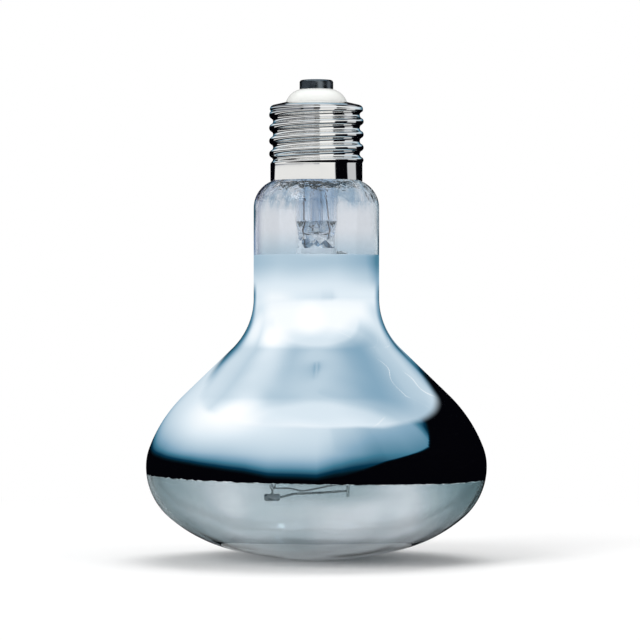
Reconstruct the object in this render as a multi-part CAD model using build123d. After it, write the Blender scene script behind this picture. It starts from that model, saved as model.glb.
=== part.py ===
from build123d import *
from math import acos, asin, cos, degrees, radians, sin, sqrt
import os

# A mirrored reflector lamp for basking animals, modelled cap upwards. Millimetres. The origin is
# the lowest point of the clear front, on the lamp's axis, and +Z points to the end contact.
# The photographed side faces -Y.

# Blown bulb: a chain of tangent arcs, from the middle of the front up to the sealed neck
bulb_radius = 47.5
neck_radius = 17.5
glass_wall = 0.95
face_radius = 92.0
face_turn = 16.2
crown_radius = 41.0
knuckle_radius = 18.7
shoulder_radius = 15.0
shoulder_turn = 20.85
flank_radius = 40.0
cone_lean = 46.0
throat_radius = 19.55
neck_top = 98.2
neck_shoulder_radius = 8.0
seal_neck_radius = 11.5
seal_neck_curve = 2.7
seal_neck_length = 3.6

# Metal film on the inside of the bulb, with a slightly tilted lower edge
mirror_film = 0.12
mirror_bottom = 23.4
mirror_top = 85.0
mirror_tilt = 1.0

# Screw shell: rolled sheet with the 27 mm round thread
thread_major_radius = 13.2
thread_pitch = 3.629
thread_curve = 1.025
thread_start_angle = 285.0
thread_land = 0.3
thread_groove_flat = 0.05
shell_lip = 0.05
shell_sheet = 0.35
skirt_radius = 12.85
skirt_height = 4.9
shell_body_height = 16.2
shell_corner_radius = 1.1
shell_roof_rise = 0.8
shell_seat_gap = 0.12
cement_top_margin = 0.8

# White ceramic dome, raised end contact and the solder in both
insulator_dome_radius = 5.35
insulator_dome_height = 3.6
insulator_flange_radius = 10.4
insulator_flange_height = 2.6
insulator_rim_radius = 8.56
insulator_bore_radius = 1.3
rim_clearance = 0.06
contact_radius = 4.7
contact_height = 2.6
contact_edge_radius = 0.7
contact_peg_length = 1.6
contact_dish_radius = 2.6
contact_dish_depth = 0.6
wire_clearance = 0.12
side_solder_radius = 1.25

# Glass stem, hung from the seal: flare, tube, and the flat press that seals the wires. What the
# stem carries hangs from the press.
stem_length = 27.2
stem_radius = 5.8
stem_wall = 0.9
press_height = 6.4
press_taper = 4.0
press_width = 10.2
press_thickness = 4.4
press_corner = 1.4
slot_floor = 1.0
stem_slot_width = 8.2
stem_slot_thickness = 1.2
exhaust_radius = 1.85
exhaust_wall = 0.55
exhaust_seat = 1.15
exhaust_height = 24.0
exhaust_tip = 2.4
blow_hole_radius = 0.8
strap_rise = 0.7
strap_height = 2.1
strap_sheet = 0.5

# Wires, with the radius of their bends
lead_wire_radius = 0.2
inner_lead_radius = 0.4
frame_wire_radius = 0.45
cross_wire_radius = 0.32
hook_wire_radius = 0.2
lead_spacing = 3.5
side_lead_top_spacing = 2.3
weld_rise = 3.8
centre_lead_bend = 1.0
side_lead_bend = 1.2
frame_rod_x = 8.8
frame_weld_drop = 0.8
frame_length = 69.0
frame_bend = 1.6

# Quartz arc tube on the axis
arc_radius = 4.6
arc_wall = 1.0
arc_drop = 32.7
arc_chamber_length = 29.0
pinch_length = 9.0
pinch_width = 8.6
pinch_thickness = 3.2
pinch_overlap = 2.2
electrode_radius = 0.35
electrode_coil_radius = 1.0
electrode_coil_length = 3.0
electrode_reach = 3.6
foil_width = 2.2
foil_length = 5.0
foil_thickness = 0.1
arc_lead_radius = 0.3
arc_lead_bend = 0.8
starter_offset = 2.6
starter_reach = 1.6
clip_sheet = 0.4
clip_height = 2.4
clip_clearance = 0.05

# Coiled tungsten filament, a loop round the arc tube
filament_radius = 0.32
filament_left = -12.4
filament_right = 11.0
filament_hang = 2.9
filament_rise = 2.7
filament_sag = 0.9
filament_right_rise = 1.5
filament_wave = (0.22, 0.36, 0.70)
filament_bend = 1.0
filament_rod_gap = 0.6

# Hooks, beads and the starting resistor
hook_half_gap = 0.62
hook_rise = 0.75
hook_bend = 0.35
bead_radius = 1.05
bead_length = 4.4
rod_bead_radius = 1.3
rod_bead_length = 2.2
hook_bead_rise = 7.4
resistor_radius = 1.4
resistor_length = 8.0
resistor_x = 2.6
resistor_y = 5.5
resistor_drop = 4.6
resistor_cap_sheet = 0.15
resistor_cap_length = 1.0
resistor_lead_radius = 0.25
resistor_lead_bend = 0.7


# Sizes that follow from those above
crown_turn = degrees(asin(
    (bulb_radius - knuckle_radius - (face_radius - crown_radius) * sin(radians(face_turn)))
    / (crown_radius - knuckle_radius)))
flank_end_radius = (
    bulb_radius
    - shoulder_radius * (1 - cos(radians(shoulder_turn)))
    - flank_radius * (cos(radians(shoulder_turn)) - cos(radians(cone_lean))))
throat_start_radius = neck_radius + throat_radius * (1 - cos(radians(cone_lean)))
cone_run = (flank_end_radius - throat_start_radius) / sin(radians(cone_lean))
neck_turn = degrees(acos(
    1 - (neck_radius - seal_neck_radius) / (neck_shoulder_radius + seal_neck_curve)))
seal_neck_start = (
    neck_top + (neck_shoulder_radius + seal_neck_curve) * sin(radians(neck_turn)))
seal_top = seal_neck_start + seal_neck_length

shell_bore_radius = skirt_radius - shell_sheet
shoulder_centre_radius = neck_radius - neck_shoulder_radius
skirt_bottom = shell_seat_gap + neck_top + sqrt(
    neck_shoulder_radius ** 2 - (shell_bore_radius - shoulder_centre_radius) ** 2)
skirt_top = skirt_bottom + skirt_height
thread_flank_turn = degrees(asin(thread_pitch / (4 * thread_curve)))
thread_depth = 2 * thread_curve * (1 - cos(radians(thread_flank_turn)))
thread_root_radius = thread_major_radius - thread_depth
shell_shoulder_top = skirt_top + shell_body_height
roof_top = shell_shoulder_top + shell_roof_rise
roof_rim_radius = insulator_rim_radius + rim_clearance
dome_top = roof_top + insulator_dome_height
contact_top = dome_top + contact_height
insulator_bottom = shell_shoulder_top - shell_sheet - insulator_flange_height
side_lead_radius = (insulator_flange_radius + thread_root_radius - shell_sheet) / 2

flare_radius = seal_neck_radius - glass_wall - stem_radius
flare_start = seal_top - flare_radius
press_bottom = seal_top - stem_length
press_top = press_bottom + press_height
press_start = press_top + press_taper
stem_slot_bottom = press_top + slot_floor
exhaust_bottom = stem_slot_bottom + exhaust_seat
weld_height = press_bottom + weld_rise
strap_bottom = press_bottom + strap_rise
strap_top = strap_bottom + strap_height
strap_outer_width = press_width + 2 * (clip_clearance + strap_sheet)
strap_outer_thickness = press_thickness + 2 * (clip_clearance + strap_sheet)

frame_top = strap_top - frame_weld_drop
frame_bottom = frame_top - frame_length
lower_bead_height = frame_bottom
hook_bead_height = frame_bottom + hook_bead_rise
resistor_z = press_bottom - resistor_drop

arc_centre = press_bottom - arc_drop
chamber_top = arc_centre + arc_chamber_length / 2
chamber_bottom = arc_centre - arc_chamber_length / 2
upper_pinch_end = chamber_top - pinch_overlap + pinch_length
lower_pinch_end = chamber_bottom + pinch_overlap - pinch_length
foil_margin = (pinch_length - foil_length) / 2
upper_bead_height = upper_pinch_end - (pinch_length + clip_height) / 2 - rod_bead_length
filament_top = upper_bead_height - filament_hang
filament_low = frame_bottom + filament_rise
filament_right_low = filament_low + filament_right_rise
filament_y = -(frame_wire_radius + filament_radius + filament_rod_gap)


def turned(outline):
    """Solid of revolution about the axis, from a closed outline of radius against height."""
    return revolve(Plane.XZ * make_face(outline), Axis.Z)


def tube_along(points, radius, bends):
    """Round wire through the given points, with an arc at each corner."""
    path = FilletPolyline(*points, radius=bends) if len(points) > 2 else Line(*points)
    start = Plane(origin=path @ 0, z_dir=path % 0)
    return sweep(start * Circle(radius), path=path)


def rod(radius, start, end):
    """Straight round rod between two points."""
    direction = Vector(*end) - Vector(*start)
    return extrude(Plane(origin=start, z_dir=direction) * Circle(radius), direction.length)


def bulb_line(inset):
    """Outline of the bulb, moved inwards by inset: convex arcs shrink and hollow arcs grow."""
    run = [JernArc((0, inset), (1, 0), face_radius - inset, face_turn)]
    turns = [
        (crown_radius - inset, crown_turn - face_turn),
        (knuckle_radius - inset, 90 - crown_turn),
        (shoulder_radius - inset, shoulder_turn),
        (flank_radius - inset, cone_lean - shoulder_turn),
    ]
    for radius, turn in turns:
        run.append(JernArc(run[-1] @ 1, run[-1] % 1, radius, turn))
    run.append(Line(run[-1] @ 1, run[-1] @ 1 + (run[-1] % 1) * cone_run))
    run.append(JernArc(run[-1] @ 1, run[-1] % 1, throat_radius + inset, -cone_lean))
    neck_end = (neck_radius - inset, neck_top)
    run.append(Line(run[-1] @ 1, neck_end))
    run.append(JernArc(neck_end, (0, 1), neck_shoulder_radius - inset, neck_turn))
    run.append(JernArc(run[-1] @ 1, run[-1] % 1, seal_neck_curve + inset, -neck_turn))
    run.append(Line(run[-1] @ 1, (seal_neck_radius - inset, seal_top)))
    return run


def bulb_layer(outer_inset, inner_inset):
    """Skin of revolution between two lines of the bulb."""
    outer = bulb_line(outer_inset)
    inner = bulb_line(inner_inset)
    closing = [Line(outer[-1] @ 1, inner[-1] @ 1), Line(inner[0] @ 0, outer[0] @ 0)]
    return turned(outer + inner + closing)


def make_glass_envelope():
    return bulb_layer(0, glass_wall)


def make_mirror_coating():
    """The film ends at the neck on a level line and below the widest place on a tilted one."""
    film = bulb_layer(glass_wall, glass_wall + mirror_film)
    span = 2 * bulb_radius
    below = Plane(origin=(0, 0, mirror_bottom), z_dir=(0, 0, -1)).rotated((0, mirror_tilt, 0))
    film -= extrude(below * Rectangle(2 * span, 2 * span), span)
    above = Plane(origin=(0, 0, mirror_top))
    return film - extrude(above * Rectangle(2 * span, 2 * span), span)


def thread_ridge(inset):
    """One helical ridge of the round thread: a crest arc between two hollow arcs.

    The inset moves the section in by the sheet's thickness, for the inside of the shell. The
    ridge starts and ends beyond the barrel, which is cut to length afterwards.
    """
    crest = thread_curve - inset
    hollow = thread_curve + inset
    half_base = (thread_pitch - thread_land) / 2
    crest_centre = thread_major_radius - thread_curve
    root_centre = thread_root_radius + thread_curve
    meet_x = crest_centre + crest * cos(radians(thread_flank_turn))
    meet_y = crest * sin(radians(thread_flank_turn))
    land_turn = degrees(asin(thread_land / 2 / hollow))
    base = root_centre - hollow * cos(radians(land_turn))
    foot = base - thread_land
    mid_turn = radians((thread_flank_turn + land_turn) / 2)
    mid_x = root_centre - hollow * cos(mid_turn)
    mid_y = thread_pitch / 2 - hollow * sin(mid_turn)
    section = make_face([
        ThreePointArc((meet_x, -meet_y), (crest_centre + crest, 0), (meet_x, meet_y)),
        ThreePointArc((meet_x, meet_y), (mid_x, mid_y), (base, half_base)),
        Polyline((base, half_base), (foot, half_base), (foot, -half_base), (base, -half_base)),
        ThreePointArc((base, -half_base), (mid_x, -mid_y), (meet_x, -meet_y)),
    ])
    height = shell_body_height + 2 * thread_pitch
    path = Helix(thread_pitch, height, crest_centre)
    start = Plane(origin=path @ 0, x_dir=(1, 0, 0), z_dir=path % 0)
    ridge = sweep(start * Pos(-crest_centre) * section, path=path, is_frenet=True)
    return Pos(0, 0, skirt_top - thread_pitch) * Rot(0, 0, thread_start_angle) * ridge


def threaded_barrel(inset):
    """Solid barrel with the thread on it, longer than the shell at both ends."""
    middle = (skirt_top + shell_shoulder_top) / 2
    radius = thread_root_radius + thread_groove_flat - inset
    return Pos(0, 0, middle) * Cylinder(radius, 3 * shell_body_height) + thread_ridge(inset)


def make_screw_shell():
    """Skirt, rolled round thread, and a roof with the hole that holds the insulator."""
    barrel_bottom = skirt_top - shell_sheet / 2
    corner_height = shell_shoulder_top - shell_corner_radius
    barrel_height = corner_height - shell_sheet / 2 - barrel_bottom
    slab = Pos(0, 0, barrel_bottom + barrel_height / 2) * Box(
        3 * skirt_radius, 3 * skirt_radius, barrel_height)
    barrel = (threaded_barrel(0) & slab) - threaded_barrel(shell_sheet)
    lip_radius = thread_major_radius + shell_lip
    step_radius = thread_root_radius - shell_sheet
    lip_rise = lip_radius - skirt_radius
    skirt = turned(Polyline(
        (skirt_radius, skirt_bottom), (skirt_radius, skirt_top - shell_sheet - lip_rise),
        (lip_radius, skirt_top - shell_sheet), (lip_radius, skirt_top), (step_radius, skirt_top),
        (step_radius, skirt_top - shell_sheet), (lip_radius - shell_sheet, skirt_top - shell_sheet),
        (shell_bore_radius, skirt_top - shell_sheet - lip_rise), (shell_bore_radius, skirt_bottom),
        close=True))
    centre = lip_radius - shell_corner_radius
    inner_corner = shell_corner_radius - shell_sheet
    diagonal = sqrt(0.5)
    roof = turned([
        Polyline((step_radius, corner_height), (step_radius, corner_height - shell_sheet),
                 (lip_radius, corner_height - shell_sheet), (lip_radius, corner_height)),
        ThreePointArc(
            (lip_radius, corner_height),
            (centre + shell_corner_radius * diagonal, corner_height + shell_corner_radius * diagonal),
            (centre, shell_shoulder_top)),
        Polyline((centre, shell_shoulder_top), (roof_rim_radius, roof_top),
                 (roof_rim_radius, roof_top - shell_sheet), (centre, shell_shoulder_top - shell_sheet)),
        ThreePointArc(
            (centre, shell_shoulder_top - shell_sheet),
            (centre + inner_corner * diagonal, corner_height + inner_corner * diagonal),
            (lip_radius - shell_sheet, corner_height)),
        Line((lip_radius - shell_sheet, corner_height), (step_radius, corner_height)),
    ])
    return barrel + skirt + (roof - side_lead_hole())


def make_cap_insulator():
    """Ceramic: a flange under the shell's roof and a dome through its hole."""
    return turned([
        Polyline((insulator_bore_radius, insulator_bottom), (insulator_flange_radius, insulator_bottom),
                 (insulator_flange_radius, shell_shoulder_top - shell_sheet),
                 (insulator_rim_radius, shell_shoulder_top - shell_sheet),
                 (insulator_rim_radius, roof_top)),
        RadiusArc((insulator_rim_radius, roof_top), (contact_radius, dome_top), -insulator_dome_radius),
        Polyline((contact_radius, dome_top), (insulator_bore_radius, dome_top),
                 (insulator_bore_radius, insulator_bottom)),
    ])


def make_end_contact():
    """Turned brass button with a peg in the ceramic, a wire hole and a dish for the solder."""
    bore = lead_wire_radius + wire_clearance
    button = Pos(0, 0, dome_top) * Cylinder(
        contact_radius, contact_height, align=(Align.CENTER, Align.CENTER, Align.MIN))
    button = fillet(button.edges().sort_by(Axis.Z)[-1], contact_edge_radius)
    peg_radius = insulator_bore_radius - rim_clearance
    button += rod(peg_radius, (0, 0, dome_top - contact_peg_length), (0, 0, contact_top - contact_dish_depth))
    button -= rod(bore, (0, 0, dome_top - 2 * contact_peg_length), (0, 0, contact_top))
    return button - contact_dish()


def contact_dish():
    """Shallow dish in the top of the contact, a segment of a ball."""
    ball_radius = (contact_dish_radius ** 2 + contact_dish_depth ** 2) / (2 * contact_dish_depth)
    ball = Pos(0, 0, contact_top - contact_dish_depth + ball_radius) * Sphere(ball_radius)
    slab = Pos(0, 0, contact_top - contact_dish_depth) * Cylinder(
        2 * contact_dish_radius, 2 * contact_dish_depth, align=(Align.CENTER, Align.CENTER, Align.MIN))
    return ball & slab


def make_contact_solder(centre_lead):
    """Solder that fills the dish up to the contact's top face and holds the end of the lead."""
    top = rod(2 * contact_dish_radius, (0, 0, contact_top - 2 * contact_dish_depth), (0, 0, contact_top))
    return (contact_dish() & top) - centre_lead


def make_side_solder(shell, side_lead):
    """Flat drop of solder over the hole in the roof where the side lead comes out."""
    drop = Pos(0, side_lead_radius, shell_shoulder_top) * Sphere(side_solder_radius)
    under_roof = turned(Polyline(
        (0, skirt_top), (thread_major_radius, skirt_top),
        (thread_major_radius, shell_shoulder_top - shell_sheet),
        (thread_major_radius + shell_lip - shell_corner_radius, shell_shoulder_top - shell_sheet),
        (roof_rim_radius, roof_top - shell_sheet), (0, roof_top - shell_sheet), close=True))
    return drop - under_roof - shell - side_lead


def side_lead_hole():
    return Pos(0, side_lead_radius, roof_top) * Cylinder(
        lead_wire_radius + wire_clearance, 4 * shell_corner_radius)


def make_capping_cement():
    """Ring of cement between the glass neck and the inside of the skirt."""
    ring = rod(
        shell_bore_radius, (0, 0, skirt_bottom), (0, 0, skirt_top - shell_sheet - cement_top_margin))
    neck = bulb_line(0)
    return ring - turned(neck + [Polyline(neck[-1] @ 1, (0, seal_top), (0, 0))])


def make_stem_glass(wires):
    """Flared tube whose lower end is pressed flat round the wires, with the slot above the press."""
    wall_radius = stem_radius - stem_wall
    flare = turned([
        Line((wall_radius, press_start), (stem_radius, press_start)),
        Line((stem_radius, press_start), (stem_radius, flare_start)),
        JernArc((stem_radius, flare_start), (0, 1), flare_radius, -90),
        Polyline((seal_neck_radius - glass_wall, seal_top), (seal_neck_radius, seal_top),
                 (seal_neck_radius, seal_top + stem_wall),
                 (seal_neck_radius - glass_wall, seal_top + stem_wall)),
        JernArc((wall_radius, flare_start), (0, 1), flare_radius + stem_wall, -90),
        Line((wall_radius, flare_start), (wall_radius, press_start)),
    ])
    flat = RectangleRounded(press_width, press_thickness, press_corner)
    taper = loft([Pos(0, 0, press_top) * flat, Pos(0, 0, press_start) * Circle(stem_radius)])
    press = Pos(0, 0, press_bottom) * extrude(flat, press_top - press_bottom)
    slot = RectangleRounded(
        stem_slot_width, stem_slot_thickness, (stem_slot_thickness - wire_clearance) / 2)
    cavity = loft([Pos(0, 0, stem_slot_bottom) * slot, Pos(0, 0, press_start) * Circle(wall_radius)])
    hole = rod(blow_hole_radius, (0, 0, stem_slot_bottom), (0, stem_radius, stem_slot_bottom))
    stem = flare + (taper + press - cavity - hole)
    for wire in wires:
        stem -= wire
    return stem


def closed_tube(radius, bottom, top, tip):
    """Solid rod from bottom to top, drawn out to a round tip above."""
    return turned([
        Polyline((0, top + tip), (0, bottom), (radius, bottom), (radius, top)),
        Bezier((radius, top), (radius, top + tip / 2), (radius / 3, top + tip), (0, top + tip)),
    ])


def make_exhaust_tube():
    """Thin tube that the lamp was emptied and filled through, melted shut at its tip."""
    top = exhaust_bottom + exhaust_height
    outside = closed_tube(exhaust_radius, exhaust_bottom, top, exhaust_tip)
    inside = closed_tube(
        exhaust_radius - exhaust_wall, exhaust_bottom - exhaust_wall, top, exhaust_tip / 2)
    return outside - inside


def make_centre_lead():
    """From the weld in the press, up beside the exhaust tube and into the end contact."""
    turn_height = exhaust_bottom + exhaust_height + exhaust_tip
    return tube_along(
        [(-lead_spacing, 0, weld_height), (-lead_spacing, 0, turn_height),
         (0, 0, (turn_height + 2 * insulator_bottom) / 3), (0, 0, contact_top - contact_dish_depth / 2)],
        lead_wire_radius, centre_lead_bend)


def make_side_lead():
    """From the weld in the press, over the flare and out through the roof at the back."""
    return tube_along(
        [(lead_spacing, 0, weld_height), (lead_spacing, 0, press_start),
         (side_lead_top_spacing, 0, skirt_bottom), (side_lead_top_spacing, 0, seal_top),
         (0, side_lead_radius, seal_top + flare_radius + stem_wall),
         (0, side_lead_radius, shell_shoulder_top + lead_wire_radius)],
        lead_wire_radius, side_lead_bend)


def make_filament_lead():
    """Thick lead from the press out to the first end of the filament."""
    height = press_bottom - 2 * frame_bend
    return tube_along(
        [(-lead_spacing, 0, weld_height), (-lead_spacing, 0, height),
         (filament_left, filament_y, height), (filament_left, filament_y, filament_top)],
        inner_lead_radius, frame_bend)


def make_frame_lead(frame):
    """Thick lead from the press, welded to the side of the frame's rod."""
    height = press_bottom - 2 * frame_bend
    lead = tube_along(
        [(lead_spacing, 0, weld_height), (lead_spacing, 0, height), (frame_rod_x, 0, height)],
        inner_lead_radius, frame_bend)
    return lead - frame


def make_stem_strap():
    """Bent strip clamped round the press."""
    outer = RectangleRounded(strap_outer_width, strap_outer_thickness, press_corner + strap_sheet)
    inner = RectangleRounded(
        press_width + 2 * clip_clearance, press_thickness + 2 * clip_clearance, press_corner)
    return Pos(0, 0, strap_bottom) * extrude(outer - inner, strap_height)


def make_support_frame():
    """Thick wire welded to the end of the strap, bent down past the arc tube to the front."""
    return tube_along(
        [(strap_outer_width / 2, 0, frame_top - frame_wire_radius),
         (frame_rod_x, 0, frame_top - frame_wire_radius), (frame_rod_x, 0, frame_bottom)],
        frame_wire_radius, frame_bend)


def make_cross_wire(frame):
    """Wire across the front, welded to the rod and bent down at its far end into a bead."""
    wire = tube_along(
        [(frame_rod_x, 0, filament_low - filament_sag),
         (filament_left / 2, filament_y / 2, lower_bead_height + bead_radius),
         (filament_left + bead_length / 2, filament_y, lower_bead_height)],
        cross_wire_radius, frame_bend)
    return wire - frame


def chamber(radius, shorten):
    """Round ended cylinder on the axis."""
    half = arc_chamber_length / 2 - shorten
    return (
        rod(radius, (0, 0, arc_centre - half + radius), (0, 0, arc_centre + half - radius))
        + Pos(0, 0, arc_centre - half + radius) * Sphere(radius)
        + Pos(0, 0, arc_centre + half - radius) * Sphere(radius))


def pinch(end, side):
    """Flat pinched end of the quartz tube, from inside the chamber's wall to its end."""
    flat = RectangleRounded(pinch_width, pinch_thickness, pinch_thickness / 3)
    start = end - side * pinch_length
    return Pos(0, 0, min(start, end)) * extrude(flat, pinch_length)


def make_arc_tube(sealed):
    """Quartz tube, pinched flat at both ends round what is sealed in, with its filling nib."""
    nib_height = arc_centre + arc_radius / 2
    tube = chamber(arc_radius, 0) + pinch(upper_pinch_end, 1) + pinch(lower_pinch_end, -1)
    tube += Pos(0, arc_radius - arc_wall / 2, nib_height) * Sphere(arc_wall)
    tube -= chamber(arc_radius - arc_wall, arc_wall)
    for piece in sealed:
        tube -= piece
    return tube


def foil(x, end, side):
    """Thin molybdenum strip inside a pinch, foil_margin from both of its ends."""
    centre = end - side * pinch_length / 2
    return Pos(x, 0, centre) * Box(foil_width, foil_thickness, foil_length)


def electrode(x, end, side, reach, coil_length):
    """Tungsten rod from its foil into the chamber, with a coiled tip."""
    foot = end - side * (pinch_length - foil_margin)
    tip = end - side * (pinch_length + reach)
    piece = rod(electrode_radius, (x, 0, foot), (x, 0, tip))
    if coil_length:
        piece += rod(
            electrode_coil_radius, (x, 0, tip + side * coil_length), (x, 0, tip - side * electrode_radius))
    return piece


def make_upper_arc_lead():
    """From the upper main foil, round the back of the rod and down to the filament's last end."""
    start = upper_pinch_end - foil_margin
    top = upper_pinch_end + 2 * frame_bend
    return tube_along(
        [(-starter_offset / 2, 0, start), (-starter_offset / 2, 0, top),
         (-starter_offset / 2, -pinch_width / 2, top), (filament_right, -pinch_width / 2, top),
         (filament_right, filament_y, upper_bead_height + rod_bead_length),
         (filament_right, filament_y, filament_top)],
        arc_lead_radius, arc_lead_bend)


def make_lower_arc_lead(frame):
    start = lower_pinch_end + foil_margin
    height = lower_pinch_end - 2 * frame_bend
    lead = tube_along(
        [(0, 0, start), (0, 0, height), (frame_rod_x, 0, height)], arc_lead_radius, frame_bend)
    return lead - frame


def make_starting_resistor():
    """Ceramic rod with a pressed metal cap on each end, lying along X behind the axis."""
    body = rod(resistor_radius, (-resistor_length / 2 + resistor_x, resistor_y, resistor_z),
               (resistor_length / 2 + resistor_x, resistor_y, resistor_z))
    for side in (-1, 1):
        end = resistor_x + side * resistor_length / 2
        body += rod(resistor_radius + resistor_cap_sheet, (end, resistor_y, resistor_z),
                    (end - side * resistor_cap_length, resistor_y, resistor_z))
    return body


def make_resistor_leads(frame):
    """One lead to the starter foil and one welded to the frame's rod."""
    left = resistor_x - resistor_length / 2
    right = resistor_x + resistor_length / 2
    starter = tube_along(
        [(starter_offset / 2, 0, upper_pinch_end - foil_margin),
         (starter_offset / 2, 0, upper_pinch_end + frame_bend),
         (left - 2 * resistor_radius, resistor_y, upper_pinch_end + 2 * frame_bend),
         (left - 2 * resistor_radius, resistor_y, resistor_z), (left, resistor_y, resistor_z)],
        resistor_lead_radius, resistor_lead_bend)
    ground = tube_along(
        [(right, resistor_y, resistor_z), (frame_rod_x, resistor_y, resistor_z),
         (frame_rod_x, 0, resistor_z)],
        resistor_lead_radius, resistor_lead_bend) - frame
    return [starter, ground]


def make_pinch_clip(end, side, frame):
    """Metal strip bent round a pinch, with a tongue welded to the frame's rod."""
    outer_width = pinch_width + 2 * (clip_clearance + clip_sheet)
    outer_thickness = pinch_thickness + 2 * (clip_clearance + clip_sheet)
    inner = RectangleRounded(
        pinch_width + 2 * clip_clearance, pinch_thickness + 2 * clip_clearance, pinch_thickness / 3)
    outer = RectangleRounded(outer_width, outer_thickness, pinch_thickness / 3 + clip_sheet)
    tongue = Pos((outer_width / 2 + frame_rod_x) / 2, 0) * Rectangle(
        frame_rod_x - outer_width / 2 + clip_sheet, clip_sheet)
    base = end - side * pinch_length / 2 - clip_height / 2
    return Pos(0, 0, base) * extrude(outer - inner + (tongue - inner), clip_height) - frame


def make_ballast_filament():
    """The coil's outer form: down on the left, across the front in a slack wave, up on the right."""
    span = filament_right - filament_left
    slack = filament_low - filament_sag
    rise = filament_low + filament_right_rise / 2
    level_x, slack_x, rise_x = (filament_left + share * span for share in filament_wave)
    corners = [
        (filament_left, filament_top), (filament_left, filament_low), (level_x, filament_low),
        (slack_x, slack), (rise_x, rise), (filament_right, filament_right_low),
        (filament_right, filament_top)]
    return tube_along([(x, filament_y, z) for x, z in corners], filament_radius, filament_bend)


def make_filament_hooks():
    """A staple and a guard wire at the left, a staple at the right, a stub at the top right."""
    front = filament_y - hook_half_gap
    back = filament_y + hook_half_gap
    pin_x = filament_left + filament_radius + hook_rise
    pin_z = filament_low + filament_radius + hook_rise
    staple = tube_along(
        [(filament_left - hook_rise, back, lower_bead_height), (pin_x, back, pin_z), (pin_x, front, pin_z)],
        hook_wire_radius, hook_bend)
    guard = rod(
        hook_wire_radius, (filament_left + hook_rise, front, lower_bead_height),
        (filament_left - hook_rise, front, pin_z))
    right_x = filament_right - filament_radius - hook_rise
    right_z = filament_right_low + filament_radius + hook_rise
    right = tube_along(
        [(frame_rod_x + frame_wire_radius + 2 * hook_wire_radius, 0, hook_bead_height),
         (right_x, back, right_z), (right_x, front, right_z)],
        hook_wire_radius, hook_bend)
    stub = rod(
        hook_wire_radius, (frame_rod_x + frame_wire_radius, filament_y / 2, upper_bead_height),
        (filament_right, filament_y, upper_bead_height))
    return [staple, guard, right, stub]


def make_support_beads(wires):
    """Glass beads melted onto the cross wire's end and onto the rod, with the hooks in them."""
    beads = [rod(bead_radius, (filament_left - bead_length / 2, filament_y, lower_bead_height),
                 (filament_left + bead_length / 2, filament_y, lower_bead_height))]
    half = rod_bead_length / 2
    for height in (hook_bead_height, upper_bead_height):
        beads.append(rod(
            rod_bead_radius, (frame_rod_x, 0, height - half), (frame_rod_x, 0, height + half)))
    rounded = [fillet(bead.edges(), bead_radius / 2) for bead in beads]
    for wire in wires:
        rounded = [bead - wire for bead in rounded]
    return rounded


shell = make_screw_shell()
centre_lead = make_centre_lead()
side_lead = make_side_lead()
filament_lead = make_filament_lead()
frame = make_support_frame()
frame_lead = make_frame_lead(frame)
cross_wire = make_cross_wire(frame)
upper_arc_lead = make_upper_arc_lead()
lower_arc_lead = make_lower_arc_lead(frame)
resistor = make_starting_resistor()
resistor_leads = [lead - resistor for lead in make_resistor_leads(frame)]
hooks = [hook - upper_arc_lead for hook in make_filament_hooks()]
upper_electrode = electrode(-starter_offset / 2, upper_pinch_end, 1, electrode_reach, electrode_coil_length)
lower_electrode = electrode(0, lower_pinch_end, -1, electrode_reach, electrode_coil_length)
starter_electrode = electrode(starter_offset / 2, upper_pinch_end, 1, starter_reach, 0)
foils = [foil(-starter_offset / 2, upper_pinch_end, 1), foil(starter_offset / 2, upper_pinch_end, 1),
         foil(0, lower_pinch_end, -1)]
sealed_in = [upper_electrode, lower_electrode, starter_electrode, *foils, upper_arc_lead,
             lower_arc_lead, resistor_leads[0]]

parts = {
    "glass_envelope": make_glass_envelope(),
    "mirror_coating": make_mirror_coating(),
    "screw_shell": shell,
    "cap_insulator": make_cap_insulator(),
    "end_contact": make_end_contact(),
    "contact_solder": make_contact_solder(centre_lead),
    "side_solder": make_side_solder(shell, side_lead),
    "capping_cement": make_capping_cement(),
    "stem_glass": make_stem_glass([centre_lead, side_lead, filament_lead, frame_lead]),
    "exhaust_tube": make_exhaust_tube(),
    "centre_lead_wire": centre_lead,
    "side_lead_wire": side_lead,
    "filament_lead": filament_lead,
    "frame_lead": frame_lead,
    "stem_strap": make_stem_strap(),
    "support_frame": frame,
    "cross_wire": cross_wire,
    "arc_tube": make_arc_tube(sealed_in),
    "arc_tube_foils": Compound(children=foils),
    "upper_electrode": upper_electrode,
    "lower_electrode": lower_electrode,
    "starter_electrode": starter_electrode,
    "upper_arc_lead": upper_arc_lead,
    "lower_arc_lead": lower_arc_lead,
    "upper_pinch_clip": make_pinch_clip(upper_pinch_end, 1, frame),
    "lower_pinch_clip": make_pinch_clip(lower_pinch_end, -1, frame),
    "ballast_filament": make_ballast_filament(),
    "filament_hooks": Compound(children=hooks),
    "support_beads": Compound(children=make_support_beads([frame, cross_wire, *hooks])),
    "starting_resistor": resistor,
    "resistor_leads": Compound(children=resistor_leads),
}

os.makedirs("parts", exist_ok=True)
for name, solid in parts.items():
    export_step(solid, f"parts/{name}.step")
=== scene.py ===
import math

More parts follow.
